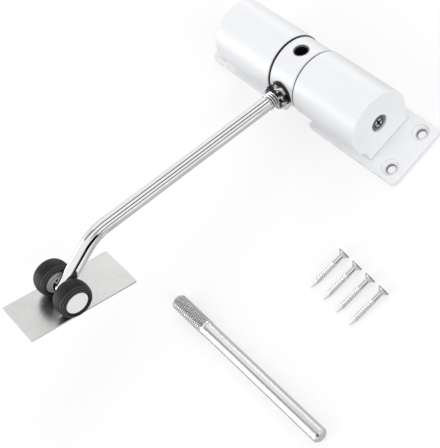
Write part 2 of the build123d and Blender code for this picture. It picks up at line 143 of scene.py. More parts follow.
# A material: its Object coordinates, noise, colour mixes and one Principled shader
class Finish(Tree):
    def __init__(self, name):
        self.material = bpy.data.materials.new(name)
        self.material.use_nodes = True
        super().__init__(self.material.node_tree)
        self.coords = self.add("ShaderNodeTexCoord", output="Object")

    def noise(self, scale, detail=2.0, rough=0.5, coords=None):
        sockets = {"Vector": coords or self.coords, "Scale": scale}
        return self.add("ShaderNodeTexNoise", {**sockets, "Detail": detail, "Roughness": rough})

    # Noise drawn out into lines, finest along the axis with the largest scale
    def drawn(self, scale, detail=2.0, rough=0.5, turn=(0, 0, 0)):
        sockets = {"Vector": self.coords, "Scale": scale, "Rotation": turn}
        return self.noise(1.0, detail, rough, self.add("ShaderNodeMapping", sockets))

    # Sockets 6 and 7 of the mix node are its colours, output 2 the mixed one
    def mixed(self, factor, first, second):
        sockets = {0: factor}
        for key, tone in ((6, first), (7, second)):
            sockets[key] = tone if isinstance(tone, Wire) else shade(tone)
        return self.add("ShaderNodeMix", sockets, 2, data_type="RGBA")

    # 0 up to a low value, 1 from a high one
    def spread(self, value, low, high):
        return self.add("ShaderNodeMapRange", {0: value, 1: low, 2: high})

    def bump(self, height, strength, distance=0.0001):
        sockets = {"Height": height, "Strength": strength, "Distance": distance}
        return self.add("ShaderNodeBump", sockets)

    # Distance from a line, out of two coordinates and its places on them in mm
    def away(self, first, second, places):
        gaps = (first - places[0] * mm, second - places[1] * mm)
        return self.maths("SQRT", gaps[0] * gaps[0] + gaps[1] * gaps[1])

    def fromAxis(self, axis):
        return self.away(*self.split(self.coords)[1:], axis)

    def fromFixing(self):
        x, y, _ = self.split(self.coords)
        return self.away(self.absolute(x), self.absolute(y), (fixing["x"], fixing["y"]))

    # 1 at a distance in mm, falling to 0 over a half width
    def band(self, value, middle, half):
        return self.clamped(1.0 - self.absolute(value - middle * mm) / (half * mm))

    def finish(self, **sockets):
        named = {key.replace("_", " "): value for key, value in sockets.items()}
        shader = self.add("ShaderNodeBsdfPrincipled", named)
        self.add("ShaderNodeOutputMaterial", {"Surface": shader})
        return self.material


# Finishes. A row of amounts is a ground value, then what each layer adds to it

paintLook = {
    "pale": (0.83, 0.84, 0.86),
    "clear": (0.86, 0.868, 0.885),
    "rough": (0.34, 0.08, 0.05),
    "relief": (0.10, 0.0002),
    "speck": {"tone": (0.74, 0.75, 0.77), "share": 0.12, "noise": (0.66, 0.74)},
    # painted shade: a dark line where the housings stand on the plate, mm
    "foot": {"tone": (0.42, 0.43, 0.45), "share": 0.4, "height": 5.1, "half": 1.1},
    # painted shade: a dark ring at the rim of each countersink; and the bare metal of its hole,
    # its dark carried onto the countersink as painted shade, mm
    "rim": {"tone": (0.42, 0.42, 0.44), "share": 0.45, "half": 0.4},
    "bare": {"tone": (0.22, 0.22, 0.225), "from": 2.9, "to": 3.6},
}


def makePaint(name, drilled=False):
    look = Finish(name)
    speck, foot, rim, bare = (paintLook[key] for key in ("speck", "foot", "rim", "bare"))
    cloud = look.noise(26.0)
    peel = look.noise(1500.0, 1.0)
    specks = look.spread(look.noise(2600.0, 1.0), *speck["noise"])
    tone = look.mixed(cloud, paintLook["pale"], paintLook["clear"])
    tone = look.mixed(specks * speck["share"], tone, speck["tone"])
    # painted shade along the foot: darker in a band at the height where the housings stand on the
    # plate
    line = look.band(look.split(look.coords)[2], foot["height"], foot["half"])
    tone = look.mixed(line * foot["share"], tone, foot["tone"])
    if drilled:
        fromHole = look.fromFixing()
        # painted shade: a dark ring round each countersink's rim
        edge = look.band(fromHole, fixing["sink"], rim["half"])
        tone = look.mixed(edge * rim["share"], tone, rim["tone"])
        # bare metal of the hole wall, its dark carried onto the lower countersink as painted shade
        metal = 1.0 - look.spread(fromHole, bare["from"] * mm, bare["to"] * mm)
        tone = look.mixed(metal, tone, bare["tone"])
    return look.finish(
        Base_Color=tone,
        Roughness=layered(paintLook["rough"], cloud, specks),
        Normal=look.bump(peel, *paintLook["relief"]),
        IOR=1.5,
    )


chromeLook = {
    "tone": (0.86, 0.865, 0.875),
    "haze": (0.76, 0.77, 0.79),
    "hazing": (0.0, 0.5, 0.3),
    "rough": (0.05, 0.04, 0.06),
    "relief": 0.03,
}


def makeChrome():
    look = Finish("chrome")
    haze = look.spread(look.noise(60.0, 3.0, 0.6), 0.35, 0.75)
    scuff = look.spread(look.noise(320.0, 4.0, 0.7), 0.64, 0.72)
    hazing = layered(chromeLook["hazing"], haze, scuff)
    return look.finish(
        Base_Color=look.mixed(hazing, chromeLook["tone"], chromeLook["haze"]),
        Metallic=1.0,
        Roughness=layered(chromeLook["rough"], haze, scuff),
        Normal=look.bump(look.noise(900.0), chromeLook["relief"]),
    )


nutLook = {
    "black": (0.012, 0.012, 0.012),
    "paintedGlare": (0.75, 0.75, 0.74),
    "glareSpread": (0.50, 0.60),  # noise at which the painted reflection starts and is full
    "metallic": 0.8,
    "rough": (0.14, 0.10, 0.05),
    "grain": (5200.0, 260.0, 260.0),
    "relief": 0.06,
}


# Lock nut: blacked steel, with painted reflections as bright patches
def makeNutFinish():
    look = Finish("nutDark")
    paintedGlare = look.spread(look.noise(330.0, 3.0, 0.6), *nutLook["glareSpread"])
    lines = look.drawn(nutLook["grain"])
    return look.finish(
        Base_Color=look.mixed(paintedGlare, nutLook["black"], nutLook["paintedGlare"]),
        Metallic=nutLook["metallic"],
        Roughness=layered(nutLook["rough"], paintedGlare, lines),
        Normal=look.bump(lines, nutLook["relief"]),
    )


oxideLook = {
    "deep": (0.010, 0.010, 0.011),
    "pale": (0.035, 0.035, 0.037),
    "metallic": 0.5,
    "rough": (0.3, 0.2),
    "relief": 0.12,
}


def makeOxide():
    look = Finish("blackOxide")
    cloud = look.noise(420.0, 3.0, 0.6)
    return look.finish(
        Base_Color=look.mixed(cloud, oxideLook["deep"], oxideLook["pale"]),
        Metallic=oxideLook["metallic"],
        Roughness=layered(oxideLook["rough"], cloud),
        Normal=look.bump(cloud, oxideLook["relief"]),
    )


tappedLook = {
    # painted shade: near-black deep in the holes
    "darkened": (0.003, 0.003, 0.003),
    "bare": (0.22, 0.22, 0.225),
    "mouth": (17.9, 19.5),  # distance from the barrel's axis where the bare metal starts, mm
    "metallic": (0.0, 0.6),
    "rough": (0.55, -0.25, 0.1),
    "relief": 0.12,
    "gloss": 0.1,
}


# Tapped holes: bare steel at the mouth, going black further in as painted shade of the hole's
# depth
def makeTapped():
    look = Finish("tappedDark")
    near, far = tappedLook["mouth"]
    mouth = look.spread(look.fromAxis(barrelAxis), near * mm, far * mm)
    cloud = look.noise(420.0, 3.0, 0.6)
    return look.finish(
        Base_Color=look.mixed(mouth, tappedLook["darkened"], tappedLook["bare"]),
        Metallic=layered(tappedLook["metallic"], mouth),
        Roughness=layered(tappedLook["rough"], mouth, cloud),
        Normal=look.bump(cloud, tappedLook["relief"]),
        Specular_IOR_Level=tappedLook["gloss"],
    )


endScrewLook = {
    "black": (0.03, 0.03, 0.032),
    # rings round the axis: middle and half width in mm
    "paintedGlint": {"tone": (0.90, 0.90, 0.91), "middle": 1.9, "half": 1.0, "share": (0.5, 0.5)},
    "rim": {"tone": (0.30, 0.30, 0.31), "middle": 4.0, "half": 0.45, "share": 0.8},
    "sunk": {"tone": (0.004, 0.004, 0.004), "within": 61.5},  # painted shade: black floor of the cross, mm from x 0
    "metallic": 0.6,
    "rough": (0.24, 0.16),
    "relief": 0.15,
}


# End screws: blacked steel, with a painted highlight between the arms of the cross
def makeEndScrewFinish():
    look = Finish("endScrewSteel")
    paintedGlint, rim, sunk = (endScrewLook[key] for key in ("paintedGlint", "rim", "sunk"))
    fromAxis = look.fromAxis(barrelAxis)
    cloud = look.spread(look.noise(900.0, 3.0, 0.6), 0.42, 0.58)
    # painted highlight: a bright ring between the arms of the cross
    shine = look.band(fromAxis, paintedGlint["middle"], paintedGlint["half"])
    shine = shine * layered(paintedGlint["share"], cloud)
    tone = look.mixed(shine, endScrewLook["black"], paintedGlint["tone"])
    rimmed = look.band(fromAxis, rim["middle"], rim["half"]) * rim["share"]
    tone = look.mixed(rimmed, tone, rim["tone"])
    # painted shade: black on the floor of the cross
    deep = look.absolute(look.split(look.coords)[0]) < sunk["within"] * mm
    return look.finish(
        Base_Color=look.mixed(deep, tone, sunk["tone"]),
        Metallic=endScrewLook["metallic"],
        Roughness=layered(endScrewLook["rough"], cloud),
        Normal=look.bump(cloud, endScrewLook["relief"]),
    )


rubberLook = {
    "deep": (0.008, 0.008, 0.009),
    "dusty": (0.026, 0.026, 0.027),
    "scuffed": (0.07, 0.07, 0.072),
    "scuffShare": 0.25,
    "ringHighlight": (0.085, 0.085, 0.086),
    # rings on the sidewall: radius and half width in mm, height
    "rings": ((8.7, 0.35, 1.0), (9.7, 0.25, 1.0), (10.45, 0.2, 0.7)),
    "treadWave": 5200.0,
    "rough": (0.46, 0.16, 0.08),
    "raised": (0.0, 0.4, 0.3, 0.25, 1.6),  # by grain, scuff, tread and rings
    "relief": (0.6, 0.0004),
    "gloss": 0.2,
}


# Tyres: moulded rings on the sidewalls, lighter as painted highlight, fine lines round the tread,
# a little dust
def makeRubber():
    look = Finish("tyreRubber")
    radius = look.fromAxis(wheelAxis)
    rings = sum(height * look.band(radius, *place) for *place, height in rubberLook["rings"])
    across = look.split(look.coords)[0]
    treads = 0.5 + 0.5 * look.maths("SINE", across * rubberLook["treadWave"])
    dust = look.spread(look.noise(140.0, 4.0, 0.62), 0.36, 0.78)
    grain = look.noise(2400.0)
    scuff = look.spread(look.noise(700.0, 3.0, 0.7), 0.6, 0.75)
    tone = look.mixed(dust, rubberLook["deep"], rubberLook["dusty"])
    tone = look.mixed(scuff * rubberLook["scuffShare"], tone, rubberLook["scuffed"])
    height = layered(rubberLook["raised"], grain, scuff, treads, rings)
    return look.finish(
        # painted highlight: the sidewall rings lighter than the rubber
        Base_Color=look.mixed(rings, tone, rubberLook["ringHighlight"]),
        Roughness=layered(rubberLook["rough"], dust, scuff),
        Normal=look.bump(height, *rubberLook["relief"]),
        Specular_IOR_Level=rubberLook["gloss"],
    )


plasticLooks = {
    # deep tone, pale tone, roughness
    "greyPlastic": ((0.50, 0.50, 0.50), (0.60, 0.60, 0.595), (0.42, 0.1)),
    "blackPlastic": ((0.008, 0.008, 0.009), (0.02, 0.02, 0.02), (0.4, 0.1)),
    "washerGrey": ((0.06, 0.06, 0.062), (0.12, 0.12, 0.122), (0.45, 0.1)),
    "adhesiveFoam": ((0.66, 0.66, 0.64), (0.78, 0.78, 0.76), (0.85, 0.1)),
    "relief": (0.14, 0.0002),
}


def makePlastic(name):
    look = Finish(name)
    deep, pale, rough = plasticLooks[name]
    cloud = look.noise(180.0, 3.0, 0.55)
    return look.finish(
        Base_Color=look.mixed(cloud, deep, pale),
        Roughness=layered(rough, cloud),
        Normal=look.bump(look.noise(2200.0), *plasticLooks["relief"]),
    )


capLook = {
    "deep": (0.85, 0.825, 0.81),
    "pale": (0.88, 0.87, 0.86),
    # painted highlight: a brighter ring at the cap's rim
    "rim": {"tone": (0.94, 0.94, 0.935), "radius": 6.75, "half": 0.5},
    "rough": (0.28, 0.1),
    "relief": (0.05, 0.0002),
}


def makeCapFinish():
    look = Finish("capPlastic")
    rim = capLook["rim"]
    # painted highlight at the rim
    rimmed = look.band(look.fromAxis(wheelAxis), rim["radius"], rim["half"])
    cloud = look.spread(look.noise(210.0, 3.0, 0.6), 0.3, 0.7)
    tone = look.mixed(cloud, capLook["deep"], capLook["pale"])
    return look.finish(
        Base_Color=look.mixed(rimmed, tone, rim["tone"]),
        Roughness=layered(capLook["rough"], cloud),
        Normal=look.bump(look.noise(1600.0), *capLook["relief"]),
    )


drawnAcross = (3200.0, 90.0, 3200.0)
drawnAlong = (60.0, 1800.0, 1800.0)
unturned = (0, 0, 0)
strikeTurn = (math.radians(30.45), 0, 0)
steelLooks = {
    # deep tone, pale tone, roughness, relief, grain, turn of the grain
    "brushedStrike": ((0.60, 0.60, 0.59), (0.72, 0.72, 0.71), 0.17, 0.14, drawnAcross, strikeTurn),
    "brightZinc": ((0.74, 0.745, 0.75), (0.88, 0.885, 0.89), 0.08, 0.04, drawnAlong, unturned),
    "satinZinc": ((0.85, 0.855, 0.86), (0.88, 0.885, 0.89), 0.20, 0.02, drawnAlong, unturned),
    "zincSteel": ((0.5, 0.5, 0.52), (0.66, 0.66, 0.68), 0.3, 0.14, drawnAcross, unturned),
    "darkSteel": ((0.10, 0.10, 0.11), (0.22, 0.22, 0.23), 0.3, 0.14, drawnAcross, unturned),
    "bronze": ((0.42, 0.26, 0.12), (0.6, 0.4, 0.2), 0.4, 0.14, drawnAcross, unturned),
    "paling": (0.0, 0.6, 0.4),
    "cloudRough": 0.06,
}


def makeSteel(name):
    look = Finish(name)
    deep, pale, rough, relief, grain, turn = steelLooks[name]
    lines = look.drawn(grain, 3.0, 0.6, turn)
    cloud = look.spread(look.noise(45.0, 3.0, 0.55), 0.3, 0.7)
    amounts = (rough, relief, steelLooks["cloudRough"])
    return look.finish(
        Base_Color=look.mixed(layered(steelLooks["paling"], lines, cloud), deep, pale),
        Metallic=1.0,
        Roughness=layered(amounts, lines, cloud),
        Normal=look.bump(lines, relief),
    )


threadLooks = {
    # crest, root, roughness
    "threadChrome": ((0.86, 0.865, 0.875), (0.03, 0.03, 0.032), (0.06, 0.08, 0.2)),
    "threadZinc": ((0.92, 0.925, 0.93), (0.12, 0.12, 0.122), (0.28, 0.08, 0.2)),
    "screwZinc": ((0.93, 0.935, 0.94), (0.05, 0.05, 0.052), (0.07, 0.08, 0.2)),
    "grimeAndShade": (0.25, 0.95),  # depths of groove at which it starts and is full
    "patches": (0.75, 0.25),
    "hazed": 0.9,
    "metallic": (1.0, -0.5),
    "relief": 0.05,
}


# Threads: plated crests over grooves darkened with grime and painted shade
def makeThread(name):
    look = Finish(name)
    crest, root, rough = threadLooks[name]
    deep = look.add("ShaderNodeAttribute", output="Fac", attribute_name="groove")
    grimeAndShade = look.spread(deep, *threadLooks["grimeAndShade"])
    grimeAndShade = grimeAndShade * layered(threadLooks["patches"], look.noise(500.0))
    haze = look.noise(220.0, 3.0, 0.6)
    tone = look.mixed(haze, crest, [threadLooks["hazed"] * part for part in crest])
    return look.finish(
        Base_Color=look.mixed(grimeAndShade, tone, root),
        Metallic=layered(threadLooks["metallic"], grimeAndShade),
        Roughness=layered(rough, haze, grimeAndShade),
        Normal=look.bump(haze, threadLooks["relief"]),
    )


springLook = {
    "dry": (0.30, 0.30, 0.32),
    "darkened": (0.12, 0.11, 0.11),
    "rough": (0.42, -0.14, 0.08),
    "relief": 0.2,
}


def makeSpringSteel():
    look = Finish("springSteel")
    oil = look.spread(look.noise(110.0, 3.0, 0.6), 0.35, 0.7)
    scale = look.noise(900.0, 3.0, 0.6)
    return look.finish(
        Base_Color=look.mixed(oil, springLook["dry"], springLook["darkened"]),
        Metallic=1.0,
        Roughness=layered(springLook["rough"], oil, scale),
        Normal=look.bump(scale, springLook["relief"]),
    )


finishes = {
    "white_paint": makePaint("whitePaint"),
    "plate_paint": makePaint("platePaint", drilled=True),
    "chrome": makeChrome(),
    "dark_chrome": makeNutFinish(),
    "black_oxide": makeOxide(),
    "tapped_dark": makeTapped(),
    "tyre_rubber": makeRubber(),
    "grey_plastic": makePlastic("greyPlastic"),
    "black_plastic": makePlastic("blackPlastic"),
    "washer_grey": makePlastic("washerGrey"),
    "adhesive_foam": makePlastic("adhesiveFoam"),
    "cap_plastic": makeCapFinish(),
    "brushed_strike": makeSteel("brushedStrike"),
    "bright_zinc": makeSteel("brightZinc"),
    "satin_zinc": makeSteel("satinZinc"),
    "thread_chrome": makeThread("threadChrome"),
    "thread_zinc": makeThread("threadZinc"),
    "screw_zinc": makeThread("screwZinc"),
    "zinc_steel": makeSteel("zincSteel"),
    "dark_steel": makeSteel("darkSteel"),
    "end_screw_steel": makeEndScrewFinish(),
    "spring_steel": makeSpringSteel(),
    "bronze": makeSteel("bronze"),
}
print("finishes:", len(finishes))

for nodeName, nodeObject in frame["nodes"].items():
    nodeObject.data.materials.clear()
    nodeObject.data.materials.append(finishes[slotOf[nodeName]])


def placed(name, data):
    thing = bpy.data.objects.new(name, data)
    bpy.context.scene.collection.objects.link(thing)
    return thing


# Shapes

latheSides = 48
threadForm = {"slope": 1.3, "cut": 0.15}  # how steep the flanks are, how flat the roots


# A Geometry Nodes group: named inputs, a lathe that wraps a grid round +Z, and its output
class Shape(Tree):
    def __init__(self, name, **inputs):
        self.group = bpy.data.node_groups.new(name, "GeometryNodeTree")
        face = self.group.interface
        face.new_socket("Geometry", in_out="OUTPUT", socket_type="NodeSocketGeometry")
        self.keys = {}
        for label, value in {**inputs, "Finish": None}.items():
            kind = "Vector" if isinstance(value, tuple) else "Float"
            kind = "NodeSocket" + ("Material" if value is None else kind)
            socket = face.new_socket(label, in_out="INPUT", socket_type=kind)
            if value is not None:
                socket.default_value = value
            self.keys[label] = socket.identifier
        super().__init__(self.group)
        self.given = self.nodes.new("NodeGroupInput")

    def named(self, label):
        return Wire(self, self.given.outputs[label])

    # The profile gives radius, height and depth in the thread for a row and a turn of 0 to 1
    def lathe(self, rows, profile):
        sockets = {"Size X": 1.0, "Size Y": 1.0, "Vertices X": rows, "Vertices Y": latheSides + 1}
        grid = self.add("GeometryNodeMeshGrid", sockets)
        across, along, _ = self.split(self.add("GeometryNodeInputPosition"))
        turn = along + 0.5
        radius, height, deep = profile((across + 0.5) * (rows - 1.0), turn)
        angle = turn * math.tau
        sides = {0: radius * self.maths("COSINE", angle), 1: radius * self.maths("SINE", angle)}
        place = self.add("ShaderNodeCombineXYZ", {**sides, 2: height})
        wrapped = self.kept(grid, deep)
        wrapped = self.add("GeometryNodeSetPosition", {"Geometry": wrapped, "Position": place})
        return self.add("GeometryNodeMergeByDistance", {"Geometry": wrapped, "Distance": weldGap})

    # Keeps how deep a point lies in its thread, for the finish
    def kept(self, geometry, deep):
        sockets = {"Geometry": geometry, "Name": "groove", "Value": deep}
        settings = {"data_type": "FLOAT", "domain": "POINT"}
        return self.add("GeometryNodeStoreNamedAttribute", sockets, **settings)

    # Ridge of a thread: 1 on its crest, 0 in its root
    def ridge(self, height, turn, pitch):
        phase = self.maths("FRACT", height / pitch - turn)
        flank = threadForm["slope"] * self.absolute(2.0 * phase - 1.0)
        return self.clamped(flank - threadForm["cut"])

    # Sets an instance on each point
    def repeated(self, points, instance, rotation):
        sockets = {"Points": points, "Instance": instance, "Rotation": rotation}
        return self.add("GeometryNodeInstanceOnPoints", sockets)

    def close(self, geometry):
        real = self.add("GeometryNodeRealizeInstances", {"Geometry": geometry})
        sockets = {"Geometry": real, "Material": self.named("Finish")}
        coated = self.add("GeometryNodeSetMaterial", sockets)
        self.add("NodeGroupOutput", {"Geometry": coated})

    # The plain mesh that the group makes from these values
    def made(self, finish, **values):
        host = placed("grower", bpy.data.meshes.new("grower"))
        grow = host.modifiers.new("grow", "NODES")
        grow.node_group = self.group
        for label, value in {**values, "Finish": finish}.items():
            grow[self.keys[label]] = value
        graph = bpy.context.evaluated_depsgraph_get()
        mesh = bpy.data.meshes.new_from_object(host.evaluated_get(graph), depsgraph=graph)
        bpy.data.objects.remove(host)
        return mesh


def ridden(piece, node):
    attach(piece, bodyOf[node])
    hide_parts(node)


# A CAD solid's mesh with its loose triangles joined
def jointed(node):
    made = bmesh.new()
    made.from_mesh(frame["nodes"][node].data)
    bmesh.ops.remove_doubles(made, verts=made.verts, dist=weldGap)
    bmesh.ops.dissolve_degenerate(made, edges=made.edges, dist=weldGap / 2)
    return made


# Turns a worked bmesh into a piece, with its rounds smooth and its edges sharp
def pieceOf(name, made, finish, angle=28.0):
    limit = math.radians(angle)
    for face in made.faces:
        face.smooth = True
    for edge in made.edges:
        edge.smooth = len(edge.link_faces) == 2 and edge.calc_face_angle(0.0) < limit
    mesh = bpy.data.meshes.new(name)
    made.to_mesh(mesh)
    made.free()
    mesh.materials.append(finish)
    piece = placed(name, mesh)
    weighted = piece.modifiers.new("weighted", "WEIGHTED_NORMAL")
    weighted.mode = "FACE_AREA_WITH_ANGLE"
    weighted.keep_sharp = True
    return piece


# A piece out of a grown mesh, its faces turned outward
def grownPiece(name, mesh, matrix, finish):
    mesh.transform(matrix)
    made = bmesh.new()
    made.from_mesh(mesh)
    bmesh.ops.recalc_face_normals(made, faces=made.faces)
    return pieceOf(name, made, finish)


# Frame with its Z along a way and its origin at a place, for meshes made round +Z
def setAlong(place, way):
    return Matrix.Translation(place) @ way.to_track_quat("Z", "Y").to_matrix().to_4x4()


# Cuts a bmesh square to a way at a place, keeps what lies ahead and closes the cut
def keepAhead(made, place, way):
    cut = {"dist": 1e-7, "plane_co": place, "plane_no": way, "clear_inner": True}
    bmesh.ops.bisect_plane(made, geom=made.verts[:] + made.edges[:] + made.faces[:], **cut)
    rim = [edge for edge in made.edges if edge.is_boundary]
    bmesh.ops.holes_fill(made, edges=rim, sides=0)


# Pieces that are smooth copies of their solids, with the finish they wear
for name, node, coat in (
    ("nearHousing", "near_housing", "white_paint"),
    ("farHousing", "far_housing", "white_paint"),
    ("hubRing", "hub_ring", "white_paint"),
    ("nearEndScrew", "near_end_screw", "end_screw_steel"),
    ("farEndScrew", "far_end_screw", "end_screw_steel"),
    ("nearTyre", "near_tyre", "tyre_rubber"),
    ("farTyre", "far_tyre", "tyre_rubber"),
    ("nearWheelHub", "near_wheel_hub", "grey_plastic"),
    ("farWheelHub", "far_wheel_hub", "grey_plastic"),
    ("nearWheelCap", "near_wheel_cap", "cap_plastic"),
    ("farWheelCap", "far_wheel_cap", "cap_plastic"),
    ("armWasher", "arm_washer", "black_oxide"),
    ("nearSeamWasher", "near_seam_washer", "washer_grey"),
    ("nearSpacer", "near_spacer", "grey_plastic"),
    ("farSpacer", "far_spacer", "grey_plastic"),
    ("basePlate", "base_plate", "plate_paint"),
):
    ridden(pieceOf(name, jointed(node), finishes[coat]), node)
print("smooth copies of the CAD solids done")

# Threaded bar: a thread between two stations, a chamfer or a point, a countersunk head
bar = Shape(
    "threadedBar",
    Length=0.02,
    Radius=0.005,
    Depth=0.0008,
    Pitch=0.0015,
    Start=0.0,
    Stop=0.02,
    Neck=0.0,
    Chamfer=0.0,
    Tip=0.005,
    Taper=1.0,
    Head=0.0,
    Rim=0.0,
    GrimeAndShade=1.0,
)
perPitch = {"rows": 12.0, "runOut": 0.6}
barRows = bar.maths("CEIL", perPitch["rows"] * bar.named("Length") / bar.named("Pitch")) + 5.0


# The first and the last row lie on the axis and close the ends
def barProfile(row, turn):
    length, radius, pitch, start, stop = (
        bar.named(label) for label in ("Length", "Radius", "Pitch", "Start", "Stop")
    )
    head, rim = bar.named("Head"), bar.named("Rim")
    height = length * bar.clamped((row - 1.0) / (barRows - 3.0))
    run = bar.clamped((height - start) / pitch)
    run = run * bar.clamped((stop - height) / (perPitch["runOut"] * pitch))
    deep = (1.0 - bar.ridge(height, turn, pitch)) * run
    outer = radius - bar.named("Depth") * deep - bar.named("Neck") * (height < start)
    outer = bar.maths("MINIMUM", outer, radius - bar.named("Chamfer") + height)
    tipped = bar.named("Tip") + bar.named("Taper") * (length - height)
    outer = bar.maths("MINIMUM", outer, tipped)
    outer = bar.maths("MAXIMUM", outer, bar.maths("MINIMUM", head, head + rim - height))
    inside = bar.maths("MINIMUM", row, barRows - 1.0 - row)
    # painted shade: a dark line round the screw head's rim, stored as groove depth
    rimmed = (height > 0.0) * (height < rim)
    return outer * bar.clamped(inside), height, bar.named("GrimeAndShade") * deep + rimmed


bar.close(bar.lathe(barRows, barProfile))

# Thread of the arm and of the rod, mm; it reaches a little into the plain bar behind it
thread = {"radius": 4.9, "pitch": 1.5, "depth": 0.85, "overlap": 0.05}
threadSizes = {
    "Radius": thread["radius"] * mm,
    "Depth": thread["depth"] * mm,
    "Pitch": thread["pitch"] * mm,
}

# Roller arm: chromed bar with a cut thread behind its shoulder, degrees and mm
arm = {"angle": 161.9, "root": 9.2, "shoulder": 31.0, "chamfer": 0.7, "tip": 4.3}
barrelMiddle = Vector((0, 0, axisHeight * mm))
armTurn = math.radians(arm["angle"])
armWay = Vector((0, math.cos(armTurn), math.sin(armTurn)))
made = jointed("arm_rod")
keepAhead(made, armWay * arm["shoulder"] * mm + barrelMiddle, armWay)
ridden(pieceOf("rollerArm", made, finishes["chrome"]), "arm_rod")
threadLength = (arm["shoulder"] + thread["overlap"] - arm["root"]) * mm
threadMesh = bar.made(
    finishes["thread_chrome"],
    **threadSizes,
    Length=threadLength,
    Stop=threadLength,
    Chamfer=arm["chamfer"] * mm,
    Tip=arm["tip"] * mm,
)
rootFrame = setAlong(armWay * arm["root"] * mm + barrelMiddle, armWay)
ridden(grownPiece("armThread", threadMesh, rootFrame, finishes["thread_chrome"]), "arm_rod")
print("roller arm done")

# Lock nut: its chamfers meet the flanks at a small angle and stay sharp
lockNut = pieceOf("lockNut", jointed("arm_lock_nut"), finishes["dark_chrome"], angle=20.0)
ridden(lockNut, "arm_lock_nut")
print("lock nut done")

# Adjusting rod: loose bar with the arm's thread on its left end, mm
rod = {"left": 25.1, "y": -151.9, "threaded": 28.0, "runOut": 0.4, "chamfer": 1.1}
rodWay = Vector((1, 0, 0))
rodPlace = Vector((rod["left"] * mm, rod["y"] * mm, thread["radius"] * mm))
made = jointed("adjusting_rod")
keepAhead(made, rodPlace + rodWay * rod["threaded"] * mm, rodWay)
ridden(pieceOf("adjustingRod", made, finishes["satin_zinc"]), "adjusting_rod")
threadMesh = bar.made(
    finishes["thread_zinc"],
    **threadSizes,
    Length=(rod["threaded"] + thread["overlap"]) * mm,
    Stop=(rod["threaded"] - rod["runOut"]) * mm,
    Chamfer=rod["chamfer"] * mm,
)
rodFrame = setAlong(rodPlace, rodWay)
ridden(grownPiece("rodThread", threadMesh, rodFrame, finishes["thread_zinc"]), "adjusting_rod")
print("adjusting rod done")

# Mounting screws: one countersunk screw, set four times along a row, mm and degrees
screw = {
    "count": 4,
    "length": 27.5,
    "head": 3.6,
    "radius": 1.75,
    "taperFrom": 21.5,
    "turn": 6.8,
    "row": (103.9, -82.8, -4.1),  # x and y of its middle, and its turn
    "spacing": 11.3,
    # the second slot is a little deeper, so that the two floors don't lie in one plane
    "slots": ((4.0, 1.1, 2.4), (1.1, 4.0, 2.472)),
}
lean = math.atan((screw["head"] - screw["radius"]) / screw["taperFrom"])
heading = math.radians(-90 - screw["turn"])
shaftWay = Vector(
    (math.cos(heading) * math.cos(lean), math.sin(heading) * math.cos(lean), -math.sin(lean))
)
rowX, rowY, rowTurn = screw["row"]
rowWay = Vector((math.cos(math.radians(rowTurn)), math.sin(math.radians(rowTurn)), 0))
firstPlace = Vector((rowX, rowY, screw["head"] * math.cos(lean)))
firstPlace -= rowWay * screw["spacing"] * (screw["count"] - 1) / 2
firstPlace -= Vector((shaftWay.x, shaftWay.y, 0)) * screw["length"] / 2

screwRow = Shape(
    "screwRow", Count=4.0, First=(0.0, 0.0, 0.0), Step=(0.01, 0.0, 0.0), Turn=(0.0, 0.0, 0.0)
)
screwSizes = {
    "Length": screw["length"] * mm,
    "Radius": screw["radius"] * mm,
    "Depth": 0.42 * mm,
    "Pitch": 1.35 * mm,
    "Start": 8.5 * mm,
    "Stop": screw["length"] * mm,
    "Neck": 0.2 * mm,
    "Tip": 0.25 * mm,
    "Taper": 0.25,
    "Head": screw["head"] * mm,
    "Rim": 0.4 * mm,
    "GrimeAndShade": 0.4,
    "Finish": screwRow.named("Finish"),
}
oneScrew = screwRow.add("GeometryNodeGroup", screwSizes, node_tree=bar.group)
for sides in screw["slots"]:
    box = screwRow.add("GeometryNodeMeshCube", {"Size": [side * mm for side in sides]})
    sockets = {"Mesh 1": oneScrew, "Mesh 2": box}
    oneScrew = screwRow.add("GeometryNodeMeshBoolean", sockets, operation="DIFFERENCE")
sockets = {"Count": "Count", "Start Location": "First", "Offset": "Step"}
sockets = {key: screwRow.named(label) for key, label in sockets.items()}
points = screwRow.add("GeometryNodeMeshLine", sockets)
screwRow.close(screwRow.repeated(points, oneScrew, screwRow.named("Turn")))
rowMesh = screwRow.made(
    finishes["screw_zinc"],
    Count=float(screw["count"]),
    First=tuple(firstPlace * mm),
    Step=tuple(rowWay * screw["spacing"] * mm),
    Turn=tuple(shaftWay.to_track_quat("Z", "Y").to_euler()),
)
atRest = Matrix.Identity(4)
ridden(grownPiece("mountingScrews", rowMesh, atRest, finishes["screw_zinc"]), "mounting_screws")
print("mounting screws done")

# Tapped holes: threaded liners in the hub's three free holes, dark with painted shade, mm from the
# barrel's axis
cup = Shape(
    "tappedHoles",
    Length=0.01,
    Outer=0.005,
    Inner=0.0042,
    Pitch=0.0015,
    Floor=0.0003,
    Count=3.0,
    Distance=0.009,
    First=0.0,
    Step=1.0,
)
cupRows, cupDepth = 90, 0.85


# Rows: middle and rim of the foot, rim of the mouth, the lining down to its floor, its middle
def cupProfile(row, turn):
    length, outer, inner = (cup.named(label) for label in ("Length", "Outer", "Inner"))
    share = cup.clamped((row - 3.0) / (cupRows - 5.0))
    height = length * (row > 1.5) - (length - cup.named("Floor")) * share
    groove = (outer - inner) * cupDepth
    groove = groove * (1.0 - cup.ridge(height, turn, cup.named("Pitch")))
    lining = inner + groove * (row < cupRows - 2.5)
    radius = outer * (row < 2.5) + lining * (row > 2.5)
    return radius * (row > 0.5) * (row < cupRows - 1.5), height, 0.0


